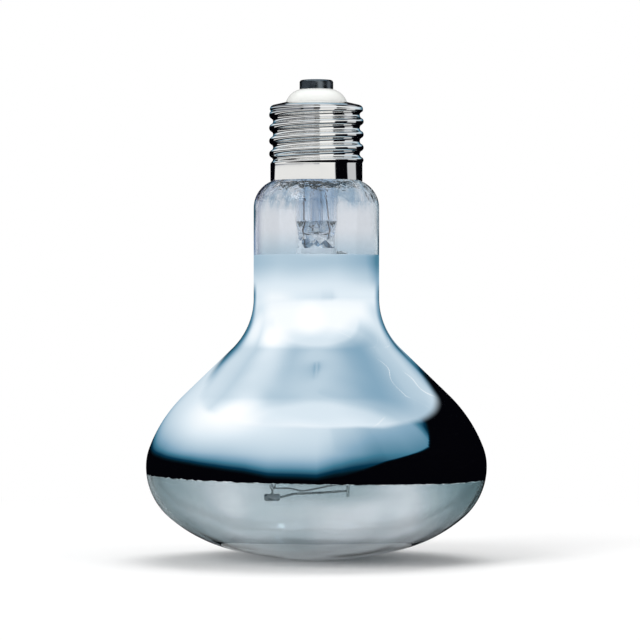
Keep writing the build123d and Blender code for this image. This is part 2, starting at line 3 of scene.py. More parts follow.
import bmesh
import bpy
import numpy as np
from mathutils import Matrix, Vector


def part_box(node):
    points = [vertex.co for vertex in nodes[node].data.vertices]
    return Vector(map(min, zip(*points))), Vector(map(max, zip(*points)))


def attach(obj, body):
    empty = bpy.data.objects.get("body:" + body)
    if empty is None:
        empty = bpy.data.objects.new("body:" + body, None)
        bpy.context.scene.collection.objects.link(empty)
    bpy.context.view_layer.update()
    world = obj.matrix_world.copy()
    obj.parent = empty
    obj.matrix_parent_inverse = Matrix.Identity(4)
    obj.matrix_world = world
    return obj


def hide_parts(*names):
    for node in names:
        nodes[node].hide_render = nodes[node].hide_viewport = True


# A mirrored reflector lamp for basking animals stands on its clear front with its screw cap up.
# All lengths are metres, and every height and radius is taken from the frame or fits it.
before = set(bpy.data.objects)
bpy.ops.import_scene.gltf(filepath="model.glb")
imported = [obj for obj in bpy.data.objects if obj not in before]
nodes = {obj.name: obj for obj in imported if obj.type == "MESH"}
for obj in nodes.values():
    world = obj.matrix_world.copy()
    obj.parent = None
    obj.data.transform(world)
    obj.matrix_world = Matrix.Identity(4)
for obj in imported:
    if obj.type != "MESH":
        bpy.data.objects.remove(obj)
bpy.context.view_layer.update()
mm = 0.001


# The photographed view: a long lens, level with the middle of the picture, which lies a little
# above the lamp's widest place. The lamp stands slightly left of the middle.
view_distance = 900 * mm
view_height = 66.9 * mm
view_side = 1.0 * mm
picture_width = 178.6 * mm
sensor = 36.0

camera_data = bpy.data.cameras.new("view")
camera_data.sensor_width = sensor
camera_data.lens = sensor * view_distance / picture_width
camera_data.clip_start = 10 * mm
camera = bpy.data.objects.new("view", camera_data)
camera.location = (view_side, -view_distance, view_height)
camera.rotation_euler = (math.pi / 2, 0, 0)
bpy.context.scene.collection.objects.link(camera)
bpy.context.scene.camera = camera
bpy.context.scene.view_settings.view_transform = "Standard"


# The floor: matt pale board that takes the lamp's shadow and fades into the white room around.
# It is not part of the lamp.
floor_reach = 1500 * mm
shadow_inner = 60 * mm
shadow_outer = 320 * mm


class Value:
    """A number, colour or vector that a node gives. Arithmetic on a number adds Math nodes."""

    def __init__(self, finish, socket):
        self.finish = finish
        self.socket = socket

    def math(self, operation, *terms):
        return self.finish.node("Math", {"operation": operation}, dict(enumerate(terms)))

    def __add__(self, other):
        return self.math("ADD", self, other)

    def __sub__(self, other):
        return self.math("SUBTRACT", self, other)

    def __rsub__(self, other):
        return self.math("SUBTRACT", other, self)

    def __mul__(self, other):
        return self.math("MULTIPLY", self, other)

    def __truediv__(self, other):
        return self.math("DIVIDE", self, other)

    def __pow__(self, other):
        return self.math("POWER", self, other)

    __radd__ = __add__
    __rmul__ = __mul__


class Finish:
    """A material, or the world, while its nodes are being added."""

    def __init__(self, owner, out="OutputMaterial"):
        self.owner = owner
        owner.use_nodes = True
        self.tree = owner.node_tree
        self.tree.nodes.clear()
        self.out = self.tree.nodes.new("ShaderNode" + out)

    def node(self, kind, settings=None, sockets=None, output=0):
        """Adds a node: its settings first, where stops are a ramp's, then its sockets."""
        made = self.tree.nodes.new("ShaderNode" + kind)
        for name, value in (settings or {}).items():
            if name == "stops":
                ramp = made.color_ramp
                while len(ramp.elements) < len(value):
                    ramp.elements.new(1.0)
                for stop, (position, colour) in zip(ramp.elements, value):
                    stop.position = position
                    stop.color = colour
            else:
                setattr(made, name, value)
        for name, value in (sockets or {}).items():
            if isinstance(value, Value):
                self.tree.links.new(value.socket, made.inputs[name])
            else:
                made.inputs[name].default_value = value
        return Value(self, made.outputs[output])

    def surface(self, shader):
        self.tree.links.new(shader.socket, self.out.inputs["Surface"])
        return self.owner


def new_finish(name):
    return Finish(bpy.data.materials.new(name))


def rgb(red, green, blue):
    return (red, green, blue, 1.0)


def blend(finish, share, first, second):
    """Colour that goes from first to second as share goes from 0 to 1."""
    return finish.node("Mix", {"data_type": "RGBA"}, {0: share, 6: first, 7: second}, 2)


def ease(finish, value, low, high):
    """Smooth step: 0 below low, 1 above high."""
    return finish.node(
        "MapRange", {"interpolation_type": "SMOOTHSTEP"},
        {"Value": value, "From Min": low, "From Max": high})


def axes(finish):
    """The piece's own coordinates as a vector and as three numbers."""
    place = finish.node("TexCoord", output="Object")
    return place, *(finish.node("SeparateXYZ", None, {0: place}, axis) for axis in range(3))


def noise(finish, vector, size, detail=2.0, roughness=0.5):
    """Cloudy pattern from 0 to 1 whose patches are about size across."""
    return finish.node("TexNoise", None, {
        "Vector": vector, "Scale": 1 / size, "Detail": detail, "Roughness": roughness})


def mesh_piece(name, grid, finish=None, around=True, marks=None):
    """Smooth mesh on a grid of points: rows follow the profile and columns go round.

    Each quad joins neighbouring rows and columns, the last column joins the first where it goes
    around, and points that fall together, as at a pole or where a profile closes, are merged.
    """
    rows, columns = grid.shape[:2]
    index = np.arange(rows * columns).reshape(rows, columns)
    right = np.roll(index, -1, axis=1) if around else index[:, 1:]
    left = index if around else index[:, :-1]
    quads = np.stack([left[:-1], right[:-1], right[1:], left[1:]], axis=-1).reshape(-1, 4)
    mesh = bpy.data.meshes.new(name)
    mesh.from_pydata(grid.reshape(-1, 3), [], quads)
    for label, values in (marks or {}).items():
        mesh.attributes.new(label, "FLOAT", "POINT").data.foreach_set("value", values.reshape(-1))
    merge_points(mesh)
    piece = bpy.data.objects.new(name, mesh)
    bpy.context.scene.collection.objects.link(piece)
    if finish:
        mesh.materials.append(finish)
    return piece


def merge_points(mesh, distance=2e-6, sharp=math.radians(40)):
    """Joins points closer than distance; only edges that turn by more than sharp stay hard."""
    shape = bmesh.new()
    shape.from_mesh(mesh)
    bmesh.ops.remove_doubles(shape, verts=shape.verts, dist=distance)
    for face in shape.faces:
        face.smooth = True
    for edge in shape.edges:
        edge.smooth = edge.calc_face_angle(0.0) < sharp
    shape.to_mesh(mesh)
    shape.free()


def seen_directly(finish):
    """1 for rays of the camera, of reflections and through glass, and 0 for scattered light."""
    seen = finish.node("LightPath", output="Is Camera Ray")
    for kind in ("Is Glossy Ray", "Is Transmission Ray"):
        seen = seen.math("MAXIMUM", seen, finish.node("LightPath", output=kind))
    return seen


floor_line = np.linspace(-floor_reach, floor_reach, 9)
floor_grid = np.stack([*np.meshgrid(floor_line, floor_line), np.zeros((9, 9))], axis=-1)
floor_finish = new_finish("pale_floor")
_, x, y, z = axes(floor_finish)
away = (x * x + y * y) ** 0.5
board = floor_finish.node("BsdfDiffuse", None, {"Color": rgb(0.9, 0.9, 0.9)})
white = floor_finish.node("Emission", None, {"Color": rgb(1, 1, 1), "Strength": 1.0})
fade = ease(floor_finish, away, shadow_inner, shadow_outer) * seen_directly(floor_finish)
floor = mesh_piece("floor", floor_grid, floor_finish.surface(
    floor_finish.node("MixShader", None, {0: fade, 1: board, 2: white})), around=False)


# The room: white as far as the camera, the glass and the metal see it, and a dimmer soft light
# for everything else, with three large soft lamps.
ambient = 0.55
room = Finish(bpy.data.worlds.new("room"), "OutputWorld")
bpy.context.scene.world = room.owner
room.surface(room.node("Background", None, {
    "Color": rgb(1, 1, 1), "Strength": ambient + (1 - ambient) * seen_directly(room)}))


def soft_lamp(name, place, size, power):
    """Square area lamp that points at the lamp's middle. Only matt surfaces are lit by it."""
    data = bpy.data.lights.new(name, "AREA")
    data.shape = "SQUARE"
    data.size = size
    data.energy = power
    lamp = bpy.data.objects.new(name, data)
    lamp.location = place
    aim = np.array([0, 0, view_height]) - np.array(place)
    lamp.rotation_euler = (
        math.atan2(math.hypot(aim[0], aim[1]), -aim[2]), 0, math.atan2(-aim[0], aim[1]))
    lamp.visible_glossy = False
    bpy.context.scene.collection.objects.link(lamp)
    return lamp


soft_lamp("key", (-0.7, -0.7, 0.8), 0.6, 7.0)
soft_lamp("fill", (0.9, -0.5, 0.4), 0.8, 3.0)
soft_lamp("top", (0.1, 0.3, 1.1), 0.7, 5.0)


# The tent and cards that the mirror and the chrome reflect: pale cloth overhead with soft white
# boxes, a black collar that stands close round the bulb, and a striped dish round the cap.
# Only reflections see them.
tent_reach = 2.5
cloth_glow = 1.08


def reflected_only(card):
    """Hides a card from all but reflections. It is not part of the lamp."""
    card.visible_camera = False
    card.visible_diffuse = False
    card.visible_transmission = False
    card.visible_shadow = False
    card.visible_volume_scatter = False


def soft_step(value, low, high):
    """0 below low and 1 above high, 3 s^2 - 2 s^3 between them."""
    share = np.clip((value - low) / (high - low), 0, 1)
    return share * share * (3 - 2 * share)


def gap_to(axis, azimuth, elevation):
    """Angle in degrees between each direction and an axis, both given by azimuth and elevation."""
    turn = np.radians(azimuth - axis[0])
    rise, axis_rise = np.radians(elevation), math.radians(axis[1])
    cosine = np.sin(rise) * math.sin(axis_rise) + np.cos(rise) * math.cos(axis_rise) * np.cos(turn)
    return np.degrees(np.arccos(np.clip(cosine, -1, 1)))


def ring_points(azimuth, radius, height):
    """Points at each azimuth, 0 at the front and positive to the right."""
    turn = np.radians(azimuth)
    return np.stack(np.broadcast_arrays(
        radius * np.sin(turn), -radius * np.cos(turn), height), axis=-1)


blue_cloth = [
    (0.0, rgb(0.001, 0.001, 0.002)), (0.12, rgb(0.0015, 0.008, 0.013)),
    (0.25, rgb(0.002, 0.034, 0.07)), (0.4, rgb(0.055, 0.19, 0.28)),
    (0.55, rgb(0.23, 0.38, 0.5)), (0.7, rgb(0.48, 0.6, 0.69)),
    (0.85, rgb(0.74, 0.82, 0.88)), (1.0, rgb(1.0, 1.0, 1.0))]
grey_cloth = [
    (0.0, rgb(0.001, 0.001, 0.002)), (0.3, rgb(0.03, 0.032, 0.036)), (0.5, rgb(0.12, 0.13, 0.15)),
    (0.7, rgb(0.36, 0.38, 0.42)), (0.85, rgb(0.68, 0.69, 0.7)), (1.0, rgb(1.0, 1.0, 0.98))]


def card_finish(name, cloth=blue_cloth, one_sided=False):
    """Glowing cloth: its mark level picks the tone and its mark clear thins it out. A one-sided
    card is clear from behind."""
    finish = new_finish(name)
    level = finish.node("Attribute", {"attribute_name": "level"}, None, "Fac")
    clear = finish.node("Attribute", {"attribute_name": "clear"}, None, "Fac")
    colour = finish.node("ValToRGB", {"stops": cloth}, {0: level})
    if one_sided:
        clear = clear.math("MAXIMUM", clear, 1 - finish.node("NewGeometry", output="Backfacing"))
    finish.surface(finish.node("MixShader", None, {
        0: clear, 1: finish.node("Emission", None, {"Color": colour, "Strength": cloth_glow}),
        2: finish.node("BsdfTransparent")}))
    return finish.owner


turns = np.linspace(-180, 180, 181)[None, :-1]
rises = np.linspace(-90, 90, 121)[:, None]
tent_grid = ring_points(
    turns, tent_reach * np.cos(np.radians(rises)), tent_reach * np.sin(np.radians(rises)))
tent_level = np.interp(rises, [-20, 0, 4, 10, 20, 45, 60, 70, 90], [
    0.55, 0.8, 0.88, 0.94, 0.97, 0.97, 0.87, 0.83, 0.82]) + 0 * turns
tent_level -= 0.16 * soft_step(np.abs(turns), 85, 135) * soft_step(rises, 2, 12)
toward = np.cos(np.radians(rises)) * np.cos(np.radians(turns))
tent_level -= 0.11 * soft_step(-toward, -0.16, 0.02) * soft_step(rises, 20, 40)


def patch(axis, inner, outer, azimuths=turns, elevations=rises):
    """1 within the inner angle of an axis of the tent and 0 beyond the outer one."""
    return 1 - soft_step(gap_to(axis, azimuths, elevations), inner, outer)


white_boxes = np.maximum(patch((-98, 49), 4, 28), 0.6 * patch((-128, 28), 3, 22))
white_boxes = np.maximum(white_boxes, 0.9 * patch((-12, 36), 8, 34))
tent_level += (1.02 - tent_level) * white_boxes
tent_level -= 0.12 * patch((95, 50), 6, 36) + (
    0.34 * patch((165, 2), 12, 36) + 0.42 * patch((-172, 6), 12, 36))
reflected_only(mesh_piece("tent", tent_grid, card_finish("tent_cloth"), marks={
    "level": tent_level, "clear": 0 * tent_level}))


# Three thin lit tubes hang just before the tent, each along a few directions given by azimuth
# and elevation. The mirror draws them as fine arcs.
tube_width = 11 * mm
tube_reach = 0.95 * tent_reach
tube_turns = {
    "tube_right": [(152, 10), (153, 18), (149, 28), (142, 37)],
    "tube_side": [(129, 51), (132, 45), (131, 39), (128, 31)],
    "tube_front": [(33, 50), (56, 55), (84, 57)]}
for name, corners in tube_turns.items():
    corner_turn, corner_rise = np.array(corners, float).T
    share = np.linspace(0, 1, 33)
    knots = np.linspace(0, 1, len(corners))
    turn = np.interp(share, knots, corner_turn)[None, :]
    rise = np.radians(np.interp(share, knots, corner_rise))[None, :]
    side = np.array([-1.0, 1.0])[:, None] * tube_width * (1 - (2 * share - 1) ** 4)[None, :]
    low_high = ring_points(
        turn + np.zeros((2, 1)), tube_reach * np.cos(rise) - side * np.sin(rise),
        tube_reach * np.sin(rise) + side * np.cos(rise))
    tube_marks = np.ones(low_high.shape[:2])
    reflected_only(mesh_piece(name, low_high, card_finish(name), around=False, marks={
        "level": 0.93 * tube_marks, "clear": 0.35 * tube_marks}))


# The collar's black edge is lowest in front, higher at the left, and stands highest at the right
# behind a blue slope.
collar_reach = 62 * mm
collar_hole = 28 * mm
collar_edge = np.array([
    (-180, 36), (-150, 32), (-115, 32), (-90, 32), (-60, 30), (-45, 28), (-30, 25), (-20, 22),
    (0, 20.5), (10, 23.5), (20, 29), (30, 35), (45, 41), (57, 45), (66, 56), (75, 66), (90, 68),
    (115, 69), (130, 65), (150, 50), (180, 36)])
collar_slope = np.array([
    (-180, 12), (-120, 8), (-60, 9), (-30, 10), (0, 11), (10, 15), (20, 20), (30, 30), (60, 40),
    (70, 14), (180, 12)])
collar_start = np.array([
    (-180, 0), (8, 0), (20, 0.16), (32, 0.32), (45, 0.4), (60, 0.42), (68, 0.1), (76, 0), (180, 0)])
turns = np.linspace(-180, 180, 241)[None, :]
heights = np.linspace(0.5, 92, 123)[:, None]
edge = np.interp(turns, *collar_edge.T)
start = np.interp(turns, *collar_start.T)
above = np.maximum(heights - edge, 0)
left_glow = np.exp(-((turns + 68) / 34) ** 2 - ((heights - 74) / 24) ** 2)
full = 0.8 + 0.22 * left_glow - 0.04 * soft_step(turns, 6, 10) * soft_step(heights, 40, 50)
slope_level = start + (full - start) * (1 - np.exp(-above / np.interp(turns, *collar_slope.T)))
collar_level = slope_level * soft_step(heights - edge, -0.8, 0.8)
collar_top = np.interp(turns, [-180, -150, -120, 25, 40, 150, 180], [56, 56, 70, 69, 65, 65, 56])
collar_clear = soft_step(heights, collar_top, collar_top + 9)
collar_low = np.broadcast_to(heights[0], turns.shape)
collar_grid = np.concatenate([
    ring_points(turns, collar_hole, collar_low * mm), ring_points(turns, collar_reach, heights * mm)])
pad = np.zeros(turns.shape)
reflected_only(mesh_piece("collar", collar_grid, card_finish("collar_cloth"), around=False, marks={
    "level": np.concatenate([pad, collar_level]), "clear": np.concatenate([pad, collar_clear])}))


# The veil cup dims the neck's upper half. Like the dish above it, it opens upward, and from below
# it is clear.
veil_inner, veil_wide = 28 * mm, 28 * mm
veil_foot, veil_rise = 74 * mm, 16 * mm
cup_turns = np.linspace(-180, 180, 121)[None, :]
cup_shares = np.linspace(0, 1, 41)[:, None]
veil_level = np.interp(cup_turns, [-180, -150, -60, 30, 85, 120, 180], [
    0.4, 0.6, 0.68, 0.66, 0.58, 0.42, 0.4]) + 0.16 * (1 - soft_step(cup_shares, 0.15, 0.62))
veil_clear = 1 - soft_step(cup_shares, 0, 0.3) + soft_step(cup_shares, 0.7, 0.95) + 0 * cup_turns
veil_grid = ring_points(
    cup_turns, veil_inner + veil_wide * cup_shares, veil_foot + veil_rise * cup_shares)
reflected_only(mesh_piece(
    "veil_cup", veil_grid, card_finish("veil_cloth", one_sided=True), around=False, marks={
        "level": veil_level, "clear": veil_clear}))


# The dish opens upward round the cap. Its stripes run down the chrome.
dish_low, dish_wide, dish_rise = 21 * mm, 75 * mm, 65 * mm
dish_foot = 102 * mm
turns = np.linspace(-180, 180, 361)[None, :]
shares = np.linspace(0, 1, 61)[:, None]
dish_radius = dish_low + dish_wide * shares
dish_height = dish_foot + dish_rise * shares ** 2


def stripe(value, start, end, soft=1.5):
    """1 from start to end and 0 outside, with edges twice soft wide."""
    return soft_step(value, start - soft, start + soft) * (
        1 - soft_step(value, end - soft, end + soft))


beside_skirt = stripe(dish_height / mm, 106.2, 112, 0.6)
skirt_stripes = 0.93 * stripe(turns, -114, 42) + 0.8 * stripe(turns, 73, 104)
right_stripes = 1.0 * stripe(turns, 7, 42) + 0.82 * stripe(turns, 73, 104)
thread_stripes = right_stripes + 0.3 * stripe(turns, -112, -60) + 0.2 * stripe(turns, -60, -32) + (
    0.52 * stripe(turns, -29, -5))
crown_stripes = 0.8 * right_stripes + 0.5 * stripe(turns, -112, -34, 4) + 0.5 * stripe(turns, -29, -5)
dish_level = beside_skirt * skirt_stripes + (1 - beside_skirt) * thread_stripes * soft_step(
    dish_height / mm, 105, 108)
dish_clear = 1 - soft_step(shares, 0.02, 0.08) + soft_step(shares, 0.62, 0.72) + 0 * turns
reflected_only(mesh_piece(
    "dish", ring_points(turns, dish_radius, dish_height), card_finish(
        "dish_cloth", grey_cloth, True), around=False, marks={
            "level": dish_level, "clear": dish_clear}))


# The crown stands above the dish, goes on with its stripes for the cap's roof, and is clear from
# below in the same way.
crown_inner, crown_wide = 27 * mm, 40 * mm
crown_foot, crown_rise = 129 * mm, 68 * mm
crown_shares = np.linspace(0, 1, 21)[:, None]
crown_level = crown_stripes * (1 - 0.3 * crown_shares) + 0.08
crown_clear = 1 - soft_step(crown_shares, 0, 0.04) + 0 * turns
crown_grid = ring_points(
    turns, crown_inner + crown_wide * crown_shares, crown_foot + crown_rise * crown_shares)
reflected_only(mesh_piece(
    "crown", crown_grid, card_finish("crown_cloth", grey_cloth, True), around=False, marks={
        "level": crown_level, "clear": crown_clear}))


# The clear bulb: one blown skin of hard glass, drawn in at the neck. Its line is a chain of
# tangent arcs, and the part that the film covers inside shows as polished metal.
bulb_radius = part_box("glass_envelope")[1].x
glass_wall = 0.95 * mm
neck_radius = 17.5 * mm
neck_top = 98.2 * mm
seal_radius = 11.5 * mm
bulb_columns = 180


def arc_line(start, heading, arcs, step):
    """Points on a chain of tangent arcs. Each arc is a radius and a turn in degrees, left turns
    positive; a turn of 0 makes a straight run of that length. Heading 0 runs outwards."""
    points = [np.array([start])]
    angle = math.radians(heading)
    for radius, turn in arcs:
        here = points[-1][-1]
        sweep = math.radians(turn)
        count = max(3, math.ceil((abs(sweep) * radius if turn else radius) / step))
        along = np.linspace(0, 1, count + 1)[1:, None]
        if turn:
            side = math.copysign(1, turn)
            centre = here + side * radius * np.array([-math.sin(angle), math.cos(angle)])
            spoke = angle - side * math.pi / 2 + sweep * along
            points.append(centre + radius * np.hstack([np.cos(spoke), np.sin(spoke)]))
            angle += sweep
        else:
            points.append(here + radius * along * np.array([math.cos(angle), math.sin(angle)]))
    return np.vstack(points)


def bulb_line(inset, step):
    """The blown outline, moved in by inset: face, crown, knuckle, shoulder, flank, cone, throat,
    neck and the necking where it is sealed to the stem."""
    face, crown, knuckle, shoulder, flank, throat = 92.0, 41.0, 18.7, 15.0, 40.0, 19.55
    face_turn, shoulder_turn, cone_lean = 16.2, 20.85, 46.0
    inner = inset / mm
    widest, neck = bulb_radius / mm, neck_radius / mm
    crown_turn = math.degrees(math.asin(
        (widest - knuckle - (face - crown) * math.sin(math.radians(face_turn))) / (crown - knuckle)))
    cone_cos = math.cos(math.radians(cone_lean))
    flank_end = widest - shoulder * (1 - math.cos(math.radians(shoulder_turn))) - flank * (
        math.cos(math.radians(shoulder_turn)) - cone_cos)
    cone = (flank_end - neck - throat * (1 - cone_cos)) / math.sin(math.radians(cone_lean))
    lower = arc_line((0, inner), 0, [
        (face - inner, face_turn), (crown - inner, crown_turn - face_turn),
        (knuckle - inner, 90 - crown_turn), (shoulder - inner, shoulder_turn),
        (flank - inner, cone_lean - shoulder_turn), (cone, 0), (throat + inner, -cone_lean)], step)
    upper_curve, seal_curve, seal_run = 8.0, 2.7, 3.6
    turn = math.degrees(math.acos(1 - (neck - seal_radius / mm) / (upper_curve + seal_curve)))
    upper = arc_line((neck - inner, neck_top / mm), 90, [
        (upper_curve - inner, turn), (seal_curve + inner, -turn), (seal_run, 0)], step)
    return np.vstack([lower, upper]) * mm


def turned(line, columns):
    """Surface of revolution of a line of radius and height, turning anticlockwise from above."""
    turn = np.linspace(0, 2 * math.pi, columns, endpoint=False)
    radius, height = line[:, :1], line[:, 1:]
    return np.stack([radius * np.cos(turn), radius * np.sin(turn), height * np.ones_like(turn)], axis=-1)


def film_edges():
    """Height of the film's lower edge on the axis and its slope along X, and its upper edge."""
    film = nodes["mirror_coating"].data
    points = np.empty(len(film.vertices) * 3)
    film.vertices.foreach_get("co", points)
    points = points.reshape(-1, 3)
    reach = 0.9 * points[:, 0].max()
    right = points[points[:, 0] > reach, 2].min()
    left = points[points[:, 0] < -reach, 2].min()
    return (left + right) / 2, (right - left) / (2 * points[:, 0].max()), points[:, 2].max()


edge_height, edge_slope, film_top = film_edges()


def film_share(finish):
    """1 where the film covers the glass: above the ragged tilted edge and below the level one."""
    place, x, y, z = axes(finish)
    ragged = noise(finish, place, 2.2 * mm, 4.0, 0.6) - 0.5
    lower = z - x * edge_slope - edge_height + ragged * (1.1 * mm)
    upper = film_top - z + ragged * (0.25 * mm)
    nearer = lower.math("MINIMUM", lower, upper)
    return ease(finish, nearer, -0.08 * mm, 0.08 * mm)


def streaks(finish, place, across, along, detail=3.0):
    """Noise drawn out along Z: patches across wide and along high."""
    stretched = finish.node("VectorMath", {"operation": "MULTIPLY"}, {
        0: place, 1: (1 / across, 1 / across, 1 / along)})
    return finish.node("TexNoise", None, {"Vector": stretched, "Scale": 1.0, "Detail": detail})


def glass_finish():
    """Clear glass, metal where the film lies behind it.

    The body is a slight grey-blue and mottled. At the front its colour is darkened towards the
    sides, more at the right, and in a band just under the film's edge in the middle: painted shade.
    Where the neck's wall is seen edge on it is painted navy at the left and teal at the right, and
    the shoulder carries blue streaks: painted reflections.
    """
    finish = new_finish("bulb_glass")
    place, x, y, z = axes(finish)
    film = film_share(finish)
    cloud = noise(finish, place, 24 * mm, 1.5)
    haze = ease(finish, cloud, 0.32, 0.62)
    front = blend(finish, haze, rgb(0.6, 0.68, 0.71), rgb(0.78, 0.82, 0.85))
    aside = (x - 2 * mm).math("ABSOLUTE", x - 2 * mm)
    # Painted shade: the front's colour darkens to dark teal towards the sides, more at the right.
    side = ease(finish, aside, 22 * mm, 47 * mm)
    side = side * (0.55 + 0.45 * ease(finish, x, -10 * mm, 30 * mm))
    front = blend(finish, side, front, rgb(0.22, 0.34, 0.37))
    # Painted shade: a darker band just under the film's lower edge, in the middle of the front.
    shade = ease(finish, z, 16.5 * mm, 21 * mm) * (1 - ease(finish, aside, 8 * mm, 26 * mm))
    front = blend(finish, shade * 0.75, front, rgb(0.34, 0.44, 0.47))
    # Painted reflection: where the neck's wall is seen edge on, its colour turns navy at the left and
    # grey-teal at the right.
    facing = finish.node("LayerWeight", None, {"Blend": 0.5}, "Facing")
    rim = ease(finish, facing, 0.5, 0.85)
    painted_rim_reflection = blend(finish, ease(finish, x, -6 * mm, 6 * mm), rgb(0.08, 0.1, 0.24), rgb(0.5, 0.58, 0.62))
    depth = ease(finish, film_top + 8 * mm - z, 0.0, 8 * mm)
    neck_tone = blend(finish, depth, rgb(0.78, 0.8, 0.83), rgb(0.62, 0.7, 0.76))
    # Painted reflection: blue streaks over the shoulder's curved glass.
    painted_shoulder_reflection = ease(finish, streaks(finish, place, 2.2 * mm, 9 * mm), 0.42, 0.62)
    painted_shoulder_reflection = painted_shoulder_reflection * ease(finish, z, 96 * mm, 101 * mm)
    neck_tone = blend(finish, painted_shoulder_reflection * 0.75, neck_tone, rgb(0.34, 0.48, 0.6))
    neck_tone = blend(finish, rim, neck_tone, painted_rim_reflection)
    neck = ease(finish, z, 60 * mm, 80 * mm)
    clear = blend(finish, neck, front, neck_tone)
    colour = blend(finish, film, clear, rgb(0.93, 0.955, 0.97))
    waves = noise(finish, place, 17 * mm, 1.0)
    ripples = noise(finish, place, 2.4 * mm, 2.0) * ease(finish, z, 97 * mm, 102 * mm)
    bump = finish.node("Bump", None, {
        "Strength": 0.25, "Distance": 1.2 * mm, "Height": waves + ripples * 0.7})
    return finish.surface(finish.node("BsdfPrincipled", None, {
        "Base Color": colour, "Metallic": film, "Roughness": 0.02, "IOR": 1.5,
        "Transmission Weight": 1.0, "Normal": bump}))


outer_line = bulb_line(0, 0.5)
inner_line = bulb_line(glass_wall, 0.9)
bulb_outline = np.vstack([outer_line, inner_line[::-1]])
bulb = mesh_piece("bulb_glass", turned(bulb_outline, bulb_columns), glass_finish())
bulb.visible_shadow = False
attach(bulb, "root")
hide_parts("glass_envelope")


# The mirror: bright metal evaporated onto the inside of the bulb before it is sealed. Its lower
# edge is ragged where the masking fluid ran.
film_gap = 0.03 * mm
film_sheet = 0.1 * mm
film_margin = 1.2 * mm

film_outer = bulb_line(glass_wall + film_gap, 0.5)
film_inner = bulb_line(glass_wall + film_gap + film_sheet, 0.5)


def film_part(line):
    """The line from below the film's ragged edge up to its level top in the straight neck."""
    lowest = edge_height - abs(edge_slope) * bulb_radius - film_margin
    kept = line[(line[:, 1] > lowest) & (line[:, 1] < film_top)]
    return np.vstack([kept, (kept[-1, 0], film_top)])


film_skin = film_part(film_outer)
film_outline = np.vstack([film_skin, film_part(film_inner)[::-1], film_skin[:1]])
film_finish = new_finish("mirror_film")
film_cloud = noise(film_finish, film_finish.node("TexCoord", output="Object"), 9 * mm)
film_tone = blend(film_finish, film_cloud, rgb(0.86, 0.89, 0.91), rgb(0.93, 0.95, 0.96))
mirror = mesh_piece("mirror_film", turned(film_outline, bulb_columns), film_finish.surface(
    film_finish.node("BsdfPrincipled", None, {
        "Base Color": film_tone, "Metallic": 1.0, "Roughness": 0.06, "Alpha": film_share(film_finish)})))
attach(mirror, "root")
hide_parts("mirror_coating")


# The screw shell: nickelled sheet with a rolled round thread, crimped in at the top round the
# white insulator. The thread grows out of the skirt and dies away under the roof.
shell_low, shell_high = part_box("screw_shell")
skirt_radius = 12.85 * mm
skirt_height = 4.9 * mm
shell_sheet = 0.35 * mm
crest_radius = 13.2 * mm
thread_pitch = 3.629 * mm
thread_curve = 1.025 * mm
crest_at_right = 111.4 * mm
roof_hole_radius = 8.62 * mm
roof_rise = 0.8 * mm
shoulder_drop = 0.2 * mm
shell_corner = 1.1 * mm
thread_foot = 0.5 * mm
thread_grow = 1.6 * mm
thread_fade = 1.2 * mm
shell_columns = 260


def thread_radius(height, turn):
    """Round thread: a crest arc and an equal hollow arc, each reaching a quarter pitch from its
    middle. The crest climbs one pitch a turn, anticlockwise from above."""
    phase = (height - crest_at_right) / thread_pitch - turn / (2 * math.pi)
    off = np.abs(phase - np.round(phase)) * thread_pitch
    quarter_drop = thread_curve - math.sqrt(thread_curve ** 2 - (thread_pitch / 4) ** 2)
    crest = crest_radius - thread_curve + np.sqrt(np.maximum(thread_curve ** 2 - off ** 2, 0))
    back = thread_pitch / 2 - off
    root = crest_radius - 2 * quarter_drop + thread_curve
    hollow = root - np.sqrt(np.maximum(thread_curve ** 2 - back ** 2, 0))
    return np.where(off < thread_pitch / 4, crest, hollow)


def shell_skin(inset, step):
    """Outside of the shell from skirt to roof hole, moved in by the sheet's thickness."""
    skirt_top = shell_low.z + skirt_height
    corner_bottom = shell_high.z - roof_rise - shell_corner
    turn = np.linspace(0, 2 * math.pi, shell_columns, endpoint=False)[None, :]
    body_low = skirt_top - thread_foot
    skirt_z = np.linspace(shell_low.z, body_low - 0.1 * mm, 12)[:, None]
    skirt = np.full((12, shell_columns), skirt_radius - inset)
    body_z = np.arange(body_low, corner_bottom, step)[:, None]
    grow = soft_step(body_z, body_low, body_low + thread_grow)
    fall = soft_step(corner_bottom - body_z, 0, thread_fade)
    shoulder = crest_radius - shoulder_drop
    plain = np.where(body_z < (skirt_top + corner_bottom) / 2, skirt_radius, shoulder)
    depth = grow * fall
    body = plain * (1 - depth) + thread_radius(body_z, turn) * depth - inset
    bend = np.linspace(0, math.radians(72), 10)[1:, None]
    middle = shoulder - shell_corner
    corner = middle + (shell_corner - inset) * np.cos(bend) * np.ones_like(turn)
    corner_z = corner_bottom + (shell_corner - inset) * np.sin(bend)
    roof_share = np.linspace(0, 1, 8)[1:, None]
    roof = corner[-1:] + (roof_hole_radius - corner[-1:]) * roof_share
    roof_z = corner_z[-1:] + (shell_high.z - inset - corner_z[-1:]) * roof_share
    radius = np.vstack([skirt, body, corner, roof])
    height = np.vstack([skirt_z, body_z, corner_z, roof_z]) * np.ones_like(turn)
    return np.stack([radius * np.cos(turn), radius * np.sin(turn), height], axis=-1)


def metal_finish(name, light, dark, rough_low, rough_high, grain, bump_depth=0.02 * mm, bump_share=0.3):
    """Metal whose tone and polish drift a little over patches, with faint scratches."""
    finish = new_finish(name)
    place = finish.node("TexCoord", output="Object")
    patches = noise(finish, place, grain, 3.0)
    fine = noise(finish, place, grain / 12, 2.0)
    roughness = finish.node("MapRange", None, {
        "Value": patches, "From Min": 0.3, "From Max": 0.7, "To Min": rough_low, "To Max": rough_high})
    bump = finish.node("Bump", None, {"Strength": bump_share, "Distance": bump_depth, "Height": fine})
    return finish.surface(finish.node("BsdfPrincipled", None, {
        "Base Color": blend(finish, patches, dark, light), "Metallic": 1.0,
        "Roughness": roughness, "Normal": bump}))


